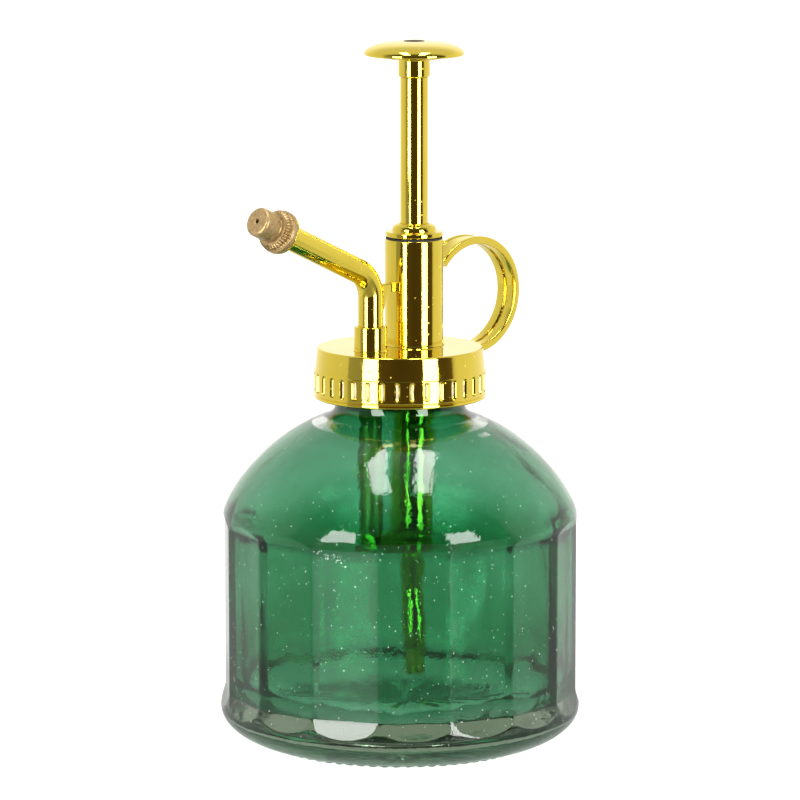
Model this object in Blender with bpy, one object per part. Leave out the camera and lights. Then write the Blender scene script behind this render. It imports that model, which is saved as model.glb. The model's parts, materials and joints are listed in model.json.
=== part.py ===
"""A glass hand mister: a screw-on pump head with a thumb plunger, a finger ring and an angled nozzle.

Lengths are in millimetres and are scaled to metres as each mesh is made. The origin is the middle
of the bottle's flat underside, +Z is up the bottle's axis, the spout points towards -X and the
finger ring towards +X.
"""

import math

import bmesh
import bpy
from mathutils import Matrix, Vector

MM = 0.001
GAP = 0.3  # between pieces that rest on each other
SLIP = 0.15  # between a seal and what slides in it

# Bottle
PANELS = 16
PANEL_TURN = 3.85  # degrees from +X to the middle of the first flat side
PANEL_APOTHEM = 38.7
BODY_R = 39.4
PANEL_LOW = 12.3
PANEL_HIGH = 50.0
LEDGE_SLOPE = 0.37
HEEL_R = 40.1
HEEL_Z = 8.6
BASE_R = 24.5
DOME_Z = 52.3
DOME_HEIGHT = 24.5
DOME_FLATNESS = 2.264
DOME_ROUNDNESS = 1.298
DOME_SWEEP = 69.0  # degrees of the superellipse
NECK_R = 14.4
NECK_BORE_R = 13.1
NECK_BASE_Z = 75.4
NECK_TOP_Z = 86.5
THREAD_LOW = 79.0
THREAD_PITCH = 3.0
THREAD_TURNS = 1.6
THREAD_HEIGHT = 0.8
WALL = 3.2
FLOOR_Z = 9.5
FLOOR_ROUND = 11.0
BOTTLE_SIDES = 32

# Cap
CAP_LOW = 78.0
CAP_HIGH = 89.3
CAP_STEP_Z = 84.1
CAP_R = 18.5
SKIRT_R = 19.1
CAP_BORE_R = 17.2
CAP_TOP_WALL = 1.3
SLOTS = 36
SLOT_TURN = 2.2  # degrees from +X to the first grip slot
SLOT_WIDTH = 1.1
SLOT_LOW = 79.65
SLOT_HIGH = 83.95
SLOT_DEPTH = 0.4

# Pump, standing off the bottle's axis
PUMP_X = 4.5
BARREL_R = 6.52
BARREL_BORE_R = 5.5
BARREL_HIGH = 112.7
GLAND_R = 6.4
GLAND_LOW = 113.5
GLAND_HIGH = 116.4
ROD_R = 3.08
KNOB_R = 11.15
KNOB_TOP = 157.1
KNOB_RIM_Z = 154.3
KNOB_UNDER = 153.2
COLLAR_LOW = 149.0
COLLAR_R = 3.5
CYLINDER_R = 4.7
CYLINDER_BORE_R = 4.1
CYLINDER_LOW = 46.9
CYLINDER_HIGH = 106.4
PISTON_TOP = 101.4
SPRING_LOW = 50.9
SPRING_TURNS = 9
SPRING_COIL_R = 3.0
SPRING_WIRE_R = 0.5

# Foot, valves and tubes inside the bottle
FOOT_LOW = 43.4
FOOT_HIGH = 46.6
FOOT_CHAMBER_R = 3.1
NIPPLE_TOP_R = 3.8
NIPPLE_LOW_R = 3.1
NIPPLE_LOW = 34.9
SPIGOT_LOW = 30.0
SPIGOT_R = 2.0
INLET_BALL_R = 1.9
INLET_BALL_Z = 41.85
INLET_SEAT_TOP = 40.3
OUTLET_BALL_R = 1.5
OUTLET_BALL_Z = 49.75
OUTLET_SEAT_TOP = 48.4
OUTLET_SPRING_LOW = 51.5
OUTLET_SPRING_HIGH = 58.0
DIP_R = 3.0
DIP_BORE_R = 2.3
DIP_LOW = 14.8
DIP_HIGH = 34.6

# Spout and nozzle
SPOUT_X = -9.3
RISER_R = 3.1
RISER_NECK_R = 2.45
RISER_TAPER_Z = 66.0  # the riser is drawn thinner above this, to clear the bottle's neck
RISER_BORE_R = 2.0
RISER_HIGH = 91.8
SOCKET_R = 3.67
SOCKET_HIGH = 94.8
SPOUT_R = 2.8
SPOUT_BORE_R = 2.2
SPOUT_LOW = 93.5
SPOUT_CORNER_Z = 105.7
SPOUT_RISE = 24.0  # degrees above the horizon
SPOUT_BEND_R = 7.0
NOZZLE_REACH = 38.3  # from the spout's corner to the nozzle's tip
NOZZLE_LENGTH = 8.2
NOZZLE_R = 4.8
TIP_R = 3.25
BRACE_Z = 102.9
BRACE_HEIGHT = 1.9
BRACE_WIDTH = 2.0

# Finger ring, a strip bent round an oval
RING_X = 21.9
RING_Z = 98.8
RING_HALF_LENGTH = 14.2
RING_HALF_HEIGHT = 13.2
STRIP_WIDTH = 5.5
STRIP_THICKNESS = 1.75
CHANNEL_DEPTH = 0.3

ROUND = 24  # sides of a small round piece
BROAD = 32  # sides of a larger one


def material(name, colour, metallic=0.0, roughness=0.4):
    """The named Principled material, made once."""
    found = bpy.data.materials.get(name)
    if found:
        return found
    made = bpy.data.materials.new(name)
    made.use_nodes = True
    shader = made.node_tree.nodes["Principled BSDF"]
    shader.inputs["Base Color"].default_value = (*colour, 1.0)
    shader.inputs["Metallic"].default_value = metallic
    shader.inputs["Roughness"].default_value = roughness
    made.diffuse_color = (*colour, 1.0)
    return made


def gold():
    return material("gold_plate", (0.83, 0.62, 0.16), metallic=1.0, roughness=0.08)


def brass():
    return material("turned_brass", (0.62, 0.43, 0.20), metallic=1.0, roughness=0.4)


def steel():
    return material("steel", (0.56, 0.56, 0.57), metallic=1.0, roughness=0.25)


def rubber():
    return material("rubber", (0.02, 0.02, 0.02), roughness=0.8)


def glass():
    return material("green_glass", (0.05, 0.30, 0.15), roughness=0.03)


def clear_scene():
    for leftover in list(bpy.data.objects):
        bpy.data.objects.remove(leftover, do_unlink=True)


def ring_of(bm, points):
    return [bm.verts.new(Vector(point)) for point in points]


def bridge(bm, lower, upper):
    """Faces between two closed rings of the same number of points."""
    count = len(lower)
    for i in range(count):
        j = (i + 1) % count
        bm.faces.new((lower[i], lower[j], upper[j], upper[i]))


def fan(bm, ring, point):
    """Triangles from a closed ring to one point."""
    tip = bm.verts.new(Vector(point))
    for i, vertex in enumerate(ring):
        bm.faces.new((vertex, ring[(i + 1) % len(ring)], tip))


def solid(name, bm, finish, origin=(0, 0, 0)):
    """An object from a closed bmesh in millimetres, with its origin at the given point."""
    bmesh.ops.recalc_face_normals(bm, faces=bm.faces)
    if bm.calc_volume(signed=True) < 0:
        bmesh.ops.reverse_faces(bm, faces=bm.faces)
    bm.transform(Matrix.Scale(MM, 4) @ Matrix.Translation(-Vector(origin)))
    mesh = bpy.data.meshes.new(name)
    bm.to_mesh(mesh)
    bm.free()
    mesh.shade_smooth()
    mesh.set_sharp_from_angle(angle=math.radians(35))
    mesh.materials.append(finish)
    made = bpy.data.objects.new(name, mesh)
    made.location = Vector(origin) * MM
    bpy.context.scene.collection.objects.link(made)
    return made


def turned_bm(outline, place=Matrix.Identity(4), sides=ROUND):
    """A closed solid turned from an outline of (radius, height), open on the axis or closed round it."""
    bm = bmesh.new()
    verts = [bm.verts.new((radius, 0, height)) for radius, height in outline]
    edges = [bm.edges.new(pair) for pair in zip(verts, verts[1:])]
    if outline[0][0] > 0:
        edges.append(bm.edges.new((verts[-1], verts[0])))
    bmesh.ops.spin(
        bm, geom=verts + edges, cent=(0, 0, 0), axis=(0, 0, 1), angle=math.tau, steps=sides
    )
    bmesh.ops.remove_doubles(bm, verts=bm.verts, dist=1e-3)
    bm.transform(place)
    return bm


def turned(name, outline, finish, x=0.0, origin_z=0.0, sides=ROUND):
    """A piece turned about the upright axis at x."""
    bm = turned_bm(outline, Matrix.Translation((x, 0, 0)), sides)
    return solid(name, bm, finish, (x, 0, origin_z))


def washer(name, inner, outer, low, high, finish, x=PUMP_X, sides=ROUND):
    outline = [(outer, high), (outer, low), (inner, low), (inner, high)]
    return turned(name, outline, finish, x, low, sides)


def arc(centre, radii, start, end, steps):
    """Points (radius, height) along an elliptical arc, with angles in degrees from the radius axis."""
    points = []
    for i in range(steps + 1):
        angle = math.radians(start + (end - start) * i / steps)
        points.append(
            (centre[0] + radii[0] * math.cos(angle), centre[1] + radii[1] * math.sin(angle))
        )
    return points


def ball(name, radius, centre_z, x, finish):
    return turned(name, arc((0, centre_z), (radius, radius), 90, -90, 6), finish, x, centre_z, 14)


def box_bm(low, high):
    bm = bmesh.new()
    bmesh.ops.create_cube(bm, size=1.0)
    size = Vector(high) - Vector(low)
    middle = (Vector(high) + Vector(low)) / 2
    bm.transform(Matrix.Translation(middle) @ Matrix.Diagonal((*size, 1.0)))
    return bm


def prism_bm(points, low, high):
    """An upright prism over a closed outline of (x, y)."""
    bm = bmesh.new()
    rings = [ring_of(bm, [(x, y, z) for x, y in points]) for z in (low, high)]
    bridge(bm, *rings)
    bm.faces.new(rings[0])
    bm.faces.new(rings[1])
    return bm


def cutter(name, bm):
    made = solid(name, bm, steel())
    made.hide_render = True
    made.display_type = "WIRE"
    return made


def boolean(target, tool, operation):
    modifier = target.modifiers.new(tool.name, "BOOLEAN")
    modifier.object = tool
    modifier.operation = operation
    modifier.solver = "EXACT"


def swept_bm(path, outer, inner, sides=16):
    """A tube in the XZ plane along a path of (point, direction), closed at both ends by its wall."""
    bm = bmesh.new()
    rings = []
    stations = [(p, d, outer) for p, d in path] + [(p, d, inner) for p, d in reversed(path)]
    for point, direction, radius in stations:
        across = Vector((direction.z, 0, -direction.x))
        turns = (math.tau * i / sides for i in range(sides))
        rings.append(
            ring_of(
                bm,
                [
                    point + radius * (math.cos(t) * across + math.sin(t) * Vector((0, 1, 0)))
                    for t in turns
                ],
            )
        )
    for i, ring in enumerate(rings):
        bridge(bm, ring, rings[(i + 1) % len(rings)])
    return bm


def coil_bm(centre_x, coil_r, wire_r, low, high, turns, steps_a_turn=11, sides=5):
    """A round wire wound upwards, with its ends closed."""
    bm = bmesh.new()
    steps = round(turns * steps_a_turn)
    first = low + wire_r
    rise = (high - low - 2 * wire_r) / steps
    rings = []
    for i in range(steps + 1):
        angle = math.tau * i / steps_a_turn
        outward = Vector((math.cos(angle), math.sin(angle), 0))
        middle = Vector((centre_x, 0, first + rise * i)) + coil_r * outward
        section = []
        for k in range(sides):
            turn = math.tau * k / sides
            section.append(
                middle + wire_r * (math.cos(turn) * outward + math.sin(turn) * Vector((0, 0, 1)))
            )
        rings.append(ring_of(bm, section))
    for lower, upper in zip(rings, rings[1:]):
        bridge(bm, lower, upper)
    bm.faces.new(rings[0])
    bm.faces.new(rings[-1])
    return bm


# Bottle


def flat_side_radius(angle):
    """Distance from the axis to the flat side that faces this angle in degrees."""
    pitch = 360 / PANELS
    off = (angle - PANEL_TURN + pitch / 2) % pitch - pitch / 2
    return PANEL_APOTHEM / math.cos(math.radians(off))


def body_point(angle, round_r, z):
    """A point of the outer wall, where the flat sides cut the round body between two sloped ledges."""
    past = max(0.0, z - PANEL_HIGH, PANEL_LOW - z)
    radius = min(round_r, flat_side_radius(angle) + LEDGE_SLOPE * past)
    turn = math.radians(angle)
    return (radius * math.cos(turn), radius * math.sin(turn), z)


def dome_profile(steps):
    """The shoulder's round profile, from the body's edge up to the neck."""
    points = []
    for i in range(steps + 1):
        turn = math.radians(DOME_SWEEP * i / steps)
        radius = BODY_R * math.cos(turn) ** (2 / DOME_FLATNESS)
        height = DOME_Z + DOME_HEIGHT * math.sin(turn) ** (2 / DOME_ROUNDNESS)
        points.append((radius, height))
    return points


def thread_rise(angle, z):
    """Height of the neck's screw thread at this angle and height."""
    turns = (z - THREAD_LOW) / THREAD_PITCH - angle / 360
    nearest = round(turns)
    if not 0 <= nearest + angle / 360 <= THREAD_TURNS:
        return 0.0
    off = abs(turns - nearest) * THREAD_PITCH
    return THREAD_HEIGHT * max(0.0, 1 - off / 0.9)


def bottle():
    angles = [PANEL_TURN + 360 / BOTTLE_SIDES * (i + 0.5) for i in range(BOTTLE_SIDES)]
    outer = arc((BASE_R, HEEL_Z), (HEEL_R - BASE_R, HEEL_Z), -90, 0, 6)
    outer += [(BODY_R + 0.45, PANEL_LOW - 1.6), (BODY_R, PANEL_LOW)]
    outer += [(BODY_R, PANEL_HIGH), (BODY_R, PANEL_HIGH + 1.1)]
    outer += dome_profile(8)
    outer += [(NECK_R + 0.5, NECK_BASE_Z - 0.5), (NECK_R, NECK_BASE_Z)]
    thread = [THREAD_LOW - 0.75 + 0.75 * i for i in range(9)]
    lip = arc((NECK_R - 0.7, NECK_TOP_Z - 0.7), (0.7, 0.7), 0, 90, 2)
    inner = [(NECK_BORE_R, NECK_TOP_Z), (NECK_BORE_R, NECK_BASE_Z - 0.6)]
    inner += [(r - WALL * 0.75, z - WALL * 0.65) for r, z in reversed(dome_profile(8)[:-1])]
    inner += [(BODY_R - WALL, PANEL_HIGH - 2), (BODY_R - WALL, FLOOR_Z + FLOOR_ROUND)]
    corner_r = BODY_R - WALL - FLOOR_ROUND
    inner += arc((corner_r, FLOOR_Z + FLOOR_ROUND), (FLOOR_ROUND, FLOOR_ROUND), -18, -90, 4)

    bm = bmesh.new()
    rings = [ring_of(bm, [body_point(a, r, z) for a in angles]) for r, z in outer]
    for z in thread:
        turned_points = []
        for a in angles:
            radius = NECK_R + thread_rise(a % 360, z)
            turn = math.radians(a)
            turned_points.append((radius * math.cos(turn), radius * math.sin(turn), z))
        rings.append(ring_of(bm, turned_points))
    for r, z in lip + inner:
        turns = [math.radians(a) for a in angles]
        rings.append(ring_of(bm, [(r * math.cos(t), r * math.sin(t), z) for t in turns]))
    for lower, upper in zip(rings, rings[1:]):
        bridge(bm, lower, upper)
    fan(bm, rings[0], (0, 0, 0))
    fan(bm, rings[-1], (0, 0, FLOOR_Z))
    return solid("bottle", bm, glass())


# Cap


def slot_cutter():
    """The grip slots, each a flat bar with tapered ends, all round the skirt."""
    bm = bmesh.new()
    middle_z = (SLOT_LOW + SLOT_HIGH) / 2
    half_height = (SLOT_HIGH - SLOT_LOW) / 2
    half = SLOT_WIDTH / 2
    outline = [
        (-half, -half_height + half),
        (0, -half_height),
        (half, -half_height + half),
        (half, half_height - half),
        (0, half_height),
        (-half, half_height - half),
    ]
    for i in range(SLOTS):
        turn = Matrix.Rotation(math.radians(SLOT_TURN + 360 / SLOTS * i), 4, "Z")
        rings = []
        for radius in (SKIRT_R - SLOT_DEPTH, SKIRT_R + 1):
            points = [turn @ Vector((radius, y, middle_z + z)) for y, z in outline]
            rings.append(ring_of(bm, points))
        bridge(bm, *rings)
        bm.faces.new(rings[0])
        bm.faces.new(rings[1])
    return cutter("slot_cutter", bm)


def hole_cutter(name, x, radius, low, high):
    outline = [(0, high), (radius, high), (radius, low), (0, low)]
    return cutter(name, turned_bm(outline, Matrix.Translation((x, 0, 0)), ROUND))


def screw_cap():
    inside_top = CAP_HIGH - CAP_TOP_WALL
    outline = [(0, CAP_HIGH)]
    outline += arc((CAP_R - 0.5, CAP_HIGH - 0.5), (0.5, 0.5), 90, 0, 3)
    outline += [(CAP_R, CAP_STEP_Z + 0.2), (SKIRT_R, CAP_STEP_Z - 0.1)]
    outline += arc((SKIRT_R - 0.5, CAP_LOW + 0.5), (0.5, 0.5), 0, -90, 3)
    outline += [(CAP_BORE_R, CAP_LOW), (CAP_BORE_R, inside_top), (0, inside_top)]
    cap = turned("screw_cap", outline, gold(), sides=SLOTS)
    pump_hole = hole_cutter("pump_hole", PUMP_X, CYLINDER_R + GAP, inside_top - 1, CAP_HIGH + 1)
    riser_hole = hole_cutter("riser_hole", SPOUT_X, RISER_NECK_R + GAP, inside_top - 1, CAP_HIGH + 1)
    for tool in (pump_hole, riser_hole, slot_cutter()):
        boolean(cap, tool, "DIFFERENCE")


def cap_gasket():
    inside_top = CAP_HIGH - CAP_TOP_WALL
    washer("cap_gasket", 13.3, 16.6, NECK_TOP_Z + 0.25, inside_top - 0.25, rubber(), 0, BROAD)


def cap_nut():
    """Ring nut with six flats, under the cap."""
    flats = [(math.cos(math.radians(60 * i)), math.sin(math.radians(60 * i))) for i in range(6)]
    points = [(PUMP_X + 6.9 * c, 6.9 * s) for c, s in flats]
    nut = solid("cap_nut", prism_bm(points, 84.0, 87.7), brass())
    bore = hole_cutter("cap_nut_bore", PUMP_X, CYLINDER_R + 0.2, 83, 89)
    boolean(nut, bore, "DIFFERENCE")


# Pump above the cap


def pump_barrel():
    low = CAP_HIGH + 0.2
    outline = [(BARREL_BORE_R, BARREL_HIGH), (BARREL_R - 0.2, BARREL_HIGH)]
    outline += [(BARREL_R, BARREL_HIGH - 0.2), (BARREL_R, low), (BARREL_BORE_R, low)]
    turned("pump_barrel", outline, gold(), PUMP_X, low, BROAD)


def barrel_gland():
    bore = ROD_R + SLIP
    pocket = bore + 0.95
    outline = [(bore, GLAND_HIGH)]
    outline += arc((3.9, GLAND_LOW + 1.15), (1.05, GLAND_HIGH - GLAND_LOW - 1.15), 90, 0, 4)
    outline += [(GLAND_R - 0.15, GLAND_LOW + 1.15), (GLAND_R, GLAND_LOW + 1.0)]
    outline += [(GLAND_R, GLAND_LOW + 0.1), (GLAND_R - 0.1, GLAND_LOW), (5.2, GLAND_LOW)]
    outline += [(5.2, 107.0), (bore, 107.0), (bore, 108.6), (pocket, 108.6), (pocket, 110.4)]
    outline += [(bore, 110.4)]
    turned("barrel_gland", outline, gold(), PUMP_X, GLAND_LOW, BROAD)


def gland_washer():
    washer("gland_washer", 5.4, 6.3, BARREL_HIGH + 0.15, GLAND_LOW - 0.15, rubber(), sides=BROAD)


def rod_wiper():
    inner = ROD_R + 0.08
    outer = ROD_R + SLIP + 0.8
    outline = arc(((inner + outer) / 2, 109.5), ((outer - inner) / 2, 0.7), 90, -240, 7)
    turned("rod_wiper", outline, rubber(), PUMP_X, 109.5)


def piston_rod():
    outline = [(0, 155.0), (1.9, 155.0), (1.9, COLLAR_LOW - 0.1), (ROD_R - 0.2, COLLAR_LOW - 0.1)]
    outline += [(ROD_R, COLLAR_LOW - 0.3), (ROD_R, PISTON_TOP + GAP), (1.5, PISTON_TOP + GAP)]
    outline += [(1.5, 93.8), (0, 93.8)]
    rod = turned("piston_rod", outline, gold(), PUMP_X, COLLAR_LOW)
    boolean(rod, hole_cutter("screw_hole", PUMP_X, 1.25, 150.5, 156), "DIFFERENCE")


def plunger_knob():
    """A round-edged button with a low dome, a dished middle and a collar for the rod."""
    bore = 2.15
    outline = [(2.6, KNOB_TOP - 0.9), (2.6, KNOB_TOP - 0.2)]
    outline += [(5.0, KNOB_TOP - 0.35), (7.6, KNOB_TOP - 0.8)]
    outline += arc((9.5, KNOB_RIM_Z), (KNOB_R - 9.5, 1.75), 65, -90, 8)
    outline = [p if p[1] > KNOB_UNDER else (p[0], KNOB_UNDER) for p in outline[:-1]]
    outline += [(COLLAR_R, KNOB_UNDER), (COLLAR_R, COLLAR_LOW + 0.3), (COLLAR_R - 0.3, COLLAR_LOW)]
    outline += [(bore, COLLAR_LOW), (bore, 155.4), (1.3, 155.4), (1.3, KNOB_TOP - 0.9)]
    turned("plunger_knob", outline, gold(), PUMP_X, COLLAR_LOW, BROAD)


def knob_screw():
    top = KNOB_TOP - 0.25
    outline = [(0, top - 0.35), (1.2, top - 0.25), (2.3, top), (2.3, top - 0.5), (1.0, top - 0.5)]
    outline += [(1.0, 151.0), (0, 151.0)]
    turned("knob_screw", outline, brass(), PUMP_X, top)


def rod_stop():
    washer("rod_stop", ROD_R + 0.2, CYLINDER_BORE_R - 0.25, 104.6, 106.7, brass())


def piston():
    top = PISTON_TOP
    washer("piston_head", 1.7, CYLINDER_BORE_R - 0.2, top - 2.4, top, brass())
    lip = CYLINDER_BORE_R - 0.08
    outline = [(1.7, top - 2.65), (3.6, top - 2.65), (lip, top - 3.3), (lip, top - 4.6)]
    outline += [(3.3, top - 4.0), (1.7, top - 4.0)]
    turned("piston_seal", outline, rubber(), PUMP_X, top - 4.0)
    flats = [(math.cos(math.radians(60 * i)), math.sin(math.radians(60 * i))) for i in range(6)]
    points = [(PUMP_X + 2.9 * c, 2.9 * s) for c, s in flats]
    nut = solid("piston_nut", prism_bm(points, top - 6.9, top - 4.3), brass())
    boolean(nut, hole_cutter("piston_nut_bore", PUMP_X, 1.7, 90, 100), "DIFFERENCE")


def return_spring():
    high = PISTON_TOP - 7.1
    bm = coil_bm(PUMP_X, SPRING_COIL_R, SPRING_WIRE_R, SPRING_LOW, high, SPRING_TURNS)
    solid("return_spring", bm, steel(), (PUMP_X, 0, SPRING_LOW))
    washer("spring_seat", 2.0, 3.8, SPRING_LOW - 1.0, SPRING_LOW - 0.2, steel())


# Pump below the cap


def tube(name, outer, inner, low, high, finish, x):
    washer(name, inner, outer, low, high, finish, x)


def riser_tube():
    outline = [(RISER_R, CYLINDER_LOW), (RISER_BORE_R, CYLINDER_LOW), (RISER_BORE_R, RISER_HIGH)]
    outline += [(RISER_NECK_R, RISER_HIGH), (RISER_NECK_R, RISER_TAPER_Z + 2)]
    outline += [(RISER_R, RISER_TAPER_Z)]
    turned("riser_tube", outline, gold(), SPOUT_X, CYLINDER_LOW)


def foot_outline():
    """The foot seen from above: a round end under each tube, joined by straight sides."""
    span = PUMP_X - SPOUT_X
    lean = math.degrees(math.asin((CYLINDER_R - RISER_R) / span))
    big = arc((PUMP_X, 0), (CYLINDER_R, CYLINDER_R), -90 - lean, 90 + lean, 16)
    small = arc((SPOUT_X, 0), (RISER_R, RISER_R), 90 + lean, 270 - lean, 10)
    return big + small


def cylinder_foot():
    foot = solid("cylinder_foot", prism_bm(foot_outline(), FOOT_LOW, FOOT_HIGH), brass())
    nipple = [(0, FOOT_LOW + 1), (NIPPLE_TOP_R, FOOT_LOW + 1), (NIPPLE_TOP_R, FOOT_LOW - 1)]
    nipple += [(NIPPLE_LOW_R, NIPPLE_LOW), (SPIGOT_R, NIPPLE_LOW), (SPIGOT_R, SPIGOT_LOW)]
    nipple += [(0, SPIGOT_LOW)]
    place = Matrix.Translation((PUMP_X, 0, 0))
    boolean(foot, cutter("nipple", turned_bm(nipple, place, ROUND)), "UNION")
    bore = [(0, 50), (FOOT_CHAMBER_R, 50), (FOOT_CHAMBER_R, 41.0), (2.7, 40.6), (2.7, 38.6)]
    bore += [(1.2, 38.6), (1.2, SPIGOT_LOW - 1), (0, SPIGOT_LOW - 1)]
    boolean(foot, cutter("foot_bore", turned_bm(bore, place, ROUND)), "DIFFERENCE")
    passage = box_bm((SPOUT_X - 0.9, -0.9, 44.2), (PUMP_X, 0.9, 45.6))
    boolean(foot, cutter("foot_passage", passage), "DIFFERENCE")
    well = hole_cutter("riser_well", SPOUT_X, 1.3, 44.9, 50)
    boolean(foot, well, "DIFFERENCE")


def inlet_valve():
    washer("inlet_seat", 1.3, 2.5, 38.8, INLET_SEAT_TOP, steel())
    ball("inlet_ball", INLET_BALL_R, INLET_BALL_Z, PUMP_X, steel())
    washer("inlet_stop", 1.0, 2.9, 45.3, 46.1, steel())


def outlet_valve():
    washer("outlet_seat", 0.9, RISER_BORE_R - 0.2, 47.2, OUTLET_SEAT_TOP, brass(), SPOUT_X, 24)
    ball("outlet_ball", OUTLET_BALL_R, OUTLET_BALL_Z, SPOUT_X, steel())
    bm = coil_bm(SPOUT_X, 1.3, 0.22, OUTLET_SPRING_LOW, OUTLET_SPRING_HIGH, 5, 9, 4)
    solid("outlet_spring", bm, steel(), (SPOUT_X, 0, OUTLET_SPRING_HIGH))
    low = OUTLET_SPRING_HIGH + 0.2
    washer("outlet_stop", 0.9, RISER_BORE_R - 0.2, low, low + 1, brass(), SPOUT_X, 24)


# Spout


def spout_direction():
    rise = math.radians(SPOUT_RISE)
    return Vector((-math.cos(rise), 0, math.sin(rise)))


def spout_path(low, reach):
    """Stations (point, direction) up from low, round the bend and out to reach past the corner."""
    corner = Vector((SPOUT_X, 0, SPOUT_CORNER_Z))
    along = spout_direction()
    turn = math.radians(90 - SPOUT_RISE)
    tangent = SPOUT_BEND_R * math.tan(turn / 2)
    middle = Vector((SPOUT_X - SPOUT_BEND_R, 0, SPOUT_CORNER_Z - tangent))
    path = [(Vector((SPOUT_X, 0, low)), Vector((0, 0, 1)))]
    steps = 7
    for i in range(steps + 1):
        angle = turn * i / steps
        outward = Vector((math.cos(angle), 0, math.sin(angle)))
        path.append((middle + SPOUT_BEND_R * outward, Vector((-outward.z, 0, outward.x))))
    path.append((corner + reach * along, along))
    return path


def nozzle_frame():
    """Places a turned piece with its height measured back from the nozzle's tip, along the spout."""
    back = -spout_direction()
    tip = Vector((SPOUT_X, 0, SPOUT_CORNER_Z)) - NOZZLE_REACH * back
    across = Vector((0, 1, 0))
    side = across.cross(back)
    frame = Matrix((side, across, back)).transposed().to_4x4()
    return Matrix.Translation(tip) @ frame


def nozzle_piece(name, outline, finish, sides=ROUND):
    place = nozzle_frame()
    return solid(name, turned_bm(outline, place, sides), finish, place.translation)


def spout():
    reach = NOZZLE_REACH - NOZZLE_LENGTH - 0.35
    solid("spout_tube", swept_bm(spout_path(SPOUT_LOW, reach), SPOUT_R, SPOUT_BORE_R, ROUND), gold())
    low = CAP_HIGH + 0.2
    wide = RISER_NECK_R + 0.25
    outline = [(SPOUT_R + 0.25, SOCKET_HIGH), (SOCKET_R - 0.25, SOCKET_HIGH)]
    outline += [(SOCKET_R, SOCKET_HIGH - 0.25), (SOCKET_R, low), (wide, low), (wide, 92.1)]
    outline += [(SPOUT_R + 0.25, 92.1)]
    turned("spout_socket", outline, gold(), SPOUT_X, low)
    washer("socket_seal", SPOUT_BORE_R, 2.9, RISER_HIGH + 0.5, SPOUT_LOW - 0.2, rubber(), SPOUT_X)
    back = NOZZLE_LENGTH + 0.2
    flange = [(4.6, back), (4.6, back + 0.5), (SPOUT_R + 0.15, back + 0.5)]
    flange += [(SPOUT_R + 0.15, back)]
    nozzle_piece("spout_flange", flange, gold(), BROAD)


def spout_brace():
    """A short bar from the spout to the barrel, with a tongue down the spout's side."""
    left = SPOUT_X + SPOUT_R + 0.2
    right = PUMP_X - BARREL_R - 0.2
    low = BRACE_Z - BRACE_HEIGHT / 2
    high = BRACE_Z + BRACE_HEIGHT / 2
    half = BRACE_WIDTH / 2
    side = [(left, high), (right, high), (right, low), (left + 1.5, low)]
    side += [(left + 0.5, low - 3.8), (left, low - 3.8)]
    bm = bmesh.new()
    rings = [ring_of(bm, [(x, y, z) for x, z in side]) for y in (-half, half)]
    bridge(bm, *rings)
    bm.faces.new(rings[0])
    bm.faces.new(rings[1])
    solid("spout_brace", bm, gold())


def nozzle():
    length = NOZZLE_LENGTH
    outline = [(0.4, 0)]
    outline += arc((TIP_R - 0.7, 0.7), (0.7, 0.7), -90, 0, 4)
    outline += [(TIP_R, 4.3), (2.8, 4.6), (2.8, 5.0), (3.7, 5.1), (4.45, 5.6), (4.5, 6.8)]
    outline += [(NOZZLE_R, 6.9), (NOZZLE_R, length - 0.2), (NOZZLE_R - 0.2, length)]
    outline += [(2.3, length), (2.3, 3.2), (1.9, 3.2), (1.9, 1.4), (0.4, 1.0)]
    nozzle_piece("nozzle_cap", outline, brass(), BROAD)
    nozzle_piece("swirl_core", [(0, 1.6), (1.4, 1.6), (1.6, 1.8), (1.6, 3.4), (0, 3.4)], brass(), 16)
    stem = [(0.9, 3.7), (2.0, 3.7), (2.0, 5.2), (1.6, 5.2), (1.6, 6.2), (2.0, 6.2)]
    stem += [(2.0, 18.0), (0.9, 18.0)]
    nozzle_piece("nozzle_stem", stem, brass(), 24)
    seal = arc((1.97, 5.7), (0.22, 0.4), 90, -240, 5)
    nozzle_piece("nozzle_seal", seal, rubber(), 24)


# Finger ring


def strip_section():
    """The strip's section as (across, depth), with a shallow channel along both broad faces."""
    half = STRIP_WIDTH / 2
    thick = STRIP_THICKNESS
    land = half - 1.1
    deep = CHANNEL_DEPTH
    outer = [(-half, 0), (-land, 0), (-land + 0.3, -deep), (land - 0.3, -deep), (land, 0), (half, 0)]
    inner = [(half, -thick), (0.4, -thick), (0, -thick + deep), (-0.4, -thick), (-half, -thick)]
    return outer + inner


def finger_ring():
    """The strip follows an oval from the barrel's side, over the top and back under to the cap."""
    start_x = PUMP_X + BARREL_R + 0.35
    end_x = CAP_R + 0.45
    start = math.degrees(math.acos((start_x - RING_X) / RING_HALF_LENGTH))
    end = -math.degrees(math.acos((end_x - RING_X) / RING_HALF_LENGTH))
    steps = 30
    bm = bmesh.new()
    rings = []
    for i in range(steps + 1):
        turn = math.radians(start + (end - start) * i / steps)
        section = []
        for across, depth in strip_section():
            x = RING_X + (RING_HALF_LENGTH + depth) * math.cos(turn)
            z = RING_Z + (RING_HALF_HEIGHT + depth) * math.sin(turn)
            section.append((x, across, z))
        rings.append(ring_of(bm, section))
    for first, second in zip(rings, rings[1:]):
        bridge(bm, first, second)
    bm.faces.new(rings[0])
    bm.faces.new(rings[-1])
    solid("finger_ring", bm, gold())


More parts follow.
